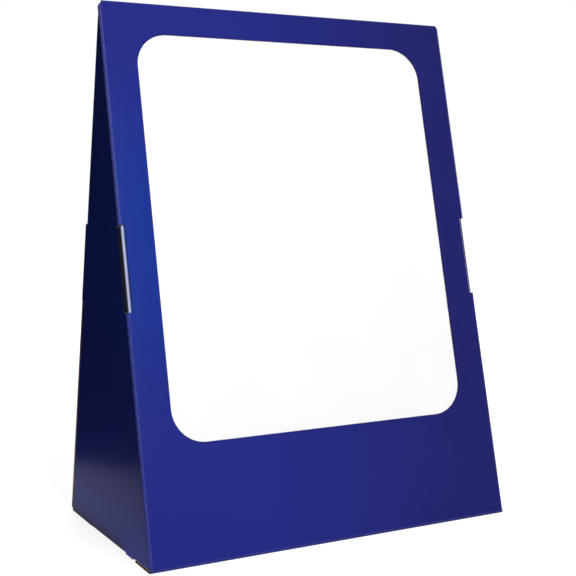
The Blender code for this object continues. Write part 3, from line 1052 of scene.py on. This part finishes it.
studio = {
    "floorGrey": 0.50,
    "floorSize": 14.0,
    "floorNear": 0.84,     # how white the table is to the camera near the stand, and 1 far off
    "floorReach": (0.5, 1.6),
    "worldGrey": 0.019,
    "keyPower": 64.0,
    "keySize": 1.3,
    "keyPlace": (0.05, -2.45, 1.25),
    "keyAim": (0.0, -0.05, 0.28),
    "backPower": 34.0,
    "backSize": 1.3,
    "backPlace": (0.85, 2.35, 1.30),
    "backAim": (0.0, 0.05, 0.28),
    "bouncePower": 0.058,
    "bounceSize": (0.05, 0.30),
    "bouncePlace": (-0.27, 0.0, 0.002),
    "edgePower": 0.0034,
    "edgeSize": (0.008, 0.08),
    "edgePlace": (-0.233, -0.096, 0.0004),
    "flagGrey": 0.06,
    "flagMiddle": (-0.28, 0.40, 0.52),
    "flagWidth": 1.20,
    "flagHeight": 1.04,
    "flagTurn": 60.0,      # degrees, from facing along Y
}


def whiteToCamera(tree):
    # Camera, mirror and glass rays also see white; other rays see the surface as it is
    paths = addNode(tree, "ShaderNodeLightPath").outputs
    seen = combine(tree, "MAXIMUM", paths["Is Camera Ray"], paths["Is Glossy Ray"])
    return combine(tree, "MAXIMUM", seen, paths["Is Transmission Ray"])


def makeFloor():
    bm = bmesh.new()
    bmesh.ops.create_grid(bm, x_segments=1, y_segments=1, size=studio["floorSize"] / 2)
    material, tree, shader = newMaterial("pale table")
    floor = newPiece("table", bm, material)
    grey = studio["floorGrey"]
    where = addNode(tree, "ShaderNodeTexCoord").outputs["Object"]
    tone = ramp(tree, noiseOn(tree, where, 3.0), 0.3, 0.7, grey - 0.01, grey + 0.01)
    tree.links.new(tone, shader.inputs["Base Color"])
    shader.inputs["Roughness"].default_value = 0.9
    shader.inputs["Specular IOR Level"].default_value = 0.1
    seen = whiteToCamera(tree)
    shader.inputs["Emission Color"].default_value = (1, 1, 1, 1)
    away = addNode(tree, "ShaderNodeVectorMath", {"operation": "LENGTH"})
    tree.links.new(where, away.inputs[0])
    own = ramp(tree, away.outputs["Value"], *studio["floorReach"], studio["floorNear"], 1.0)
    tree.links.new(combine(tree, "MULTIPLY", seen, own), shader.inputs["Emission Strength"])


def makeFlag():
    # A black card that only reflections see keeps the sheen of the left side dark
    bm = bmesh.new()
    bmesh.ops.create_grid(bm, x_segments=1, y_segments=1, size=0.5)
    stood = Matrix.Translation(studio["flagMiddle"])
    stood @= Matrix.Rotation(radians(studio["flagTurn"]), 4, "Z")
    stood @= Matrix.Rotation(pi / 2, 4, "X")
    stood @= Matrix.Diagonal((studio["flagWidth"], studio["flagHeight"], 1, 1))
    bmesh.ops.transform(bm, matrix=stood, verts=bm.verts)
    material, tree, shader = newMaterial("black card")
    where = addNode(tree, "ShaderNodeTexCoord").outputs["Object"]
    grey = studio["flagGrey"]
    tone = ramp(tree, noiseOn(tree, where, 20.0), 0.3, 0.7, grey - 0.01, grey + 0.01)
    tree.links.new(tone, shader.inputs["Base Color"])
    shader.inputs["Roughness"].default_value = 1.0
    shader.inputs["Specular IOR Level"].default_value = 0.0
    flag = newPiece("black_flag", bm, material)
    flag.visible_camera = False
    flag.visible_shadow = False
    flag.visible_diffuse = False


def makeWorld():
    world = bpy.data.worlds.new("studio")
    bpy.context.scene.world = world
    world.use_nodes = True
    tree = world.node_tree
    background = tree.nodes["Background"]
    background.inputs["Color"].default_value = (1, 1, 1, 1)
    seen = whiteToCamera(tree)
    tree.links.new(ramp(tree, seen, 0, 1, studio["worldGrey"], 1.0), background.inputs["Strength"])


def addLamp(name, turn, size):
    # The studio's own values give each lamp its place and power
    lamp = bpy.data.lights.new(name, "AREA")
    lamp.energy = studio[name + "Power"]
    lamp.shape = "RECTANGLE"
    lamp.size, lamp.size_y = size
    obj = bpy.data.objects.new(name, lamp)
    bpy.context.collection.objects.link(obj)
    obj.location = studio[name + "Place"]
    obj.rotation_euler = turn
    return obj


cameraFit = {
    "picture": 576,        # pixels across, and the focal length and shift are in pixels too
    "focal": 1095.1,
    "shift": (-16.11, -26.21),
    "yaw": 27.353,         # degrees, like the other two turns
    "pitch": 3.343,
    "roll": -0.518,
    "place": (-621.3, -1171.5, 384.6),
}


def makeCamera():
    yaw, pitch, turn = (radians(cameraFit[k]) for k in ("yaw", "pitch", "roll"))
    ahead = Vector((sin(yaw) * cos(pitch), cos(yaw) * cos(pitch), -sin(pitch)))
    level = Vector((cos(yaw), -sin(yaw), 0))
    upright = level.cross(ahead)
    right = cos(turn) * level + sin(turn) * upright
    up = -sin(turn) * level + cos(turn) * upright
    data = bpy.data.cameras.new("camera")
    camera = bpy.data.objects.new("camera", data)
    bpy.context.collection.objects.link(camera)
    axes = Matrix((right, up, -ahead)).transposed()
    camera.matrix_world = Matrix.Translation(Vector(cameraFit["place"]) * mm) @ axes.to_4x4()
    data.sensor_width = 36.0
    data.lens = cameraFit["focal"] / cameraFit["picture"] * data.sensor_width
    data.shift_x = -cameraFit["shift"][0] / cameraFit["picture"]
    data.shift_y = cameraFit["shift"][1] / cameraFit["picture"]
    bpy.context.scene.camera = camera


makeFloor()
makeFlag()
makeWorld()
for name in ("key", "back"):
    towards = Vector(studio[name + "Aim"]) - Vector(studio[name + "Place"])
    addLamp(name, towards.to_track_quat("-Z", "Y").to_euler(), (studio[name + "Size"],) * 2)
for name in ("bounce", "edge"):
    # Light off the table, along the left side and by the raw edge of the front flap
    strip = addLamp(name, (pi, 0, 0), studio[name + "Size"])
    strip.visible_camera = False
    strip.visible_glossy = False
makeCamera()
bpy.context.scene.view_settings.view_transform = "Standard"
print("table, lamps and camera")
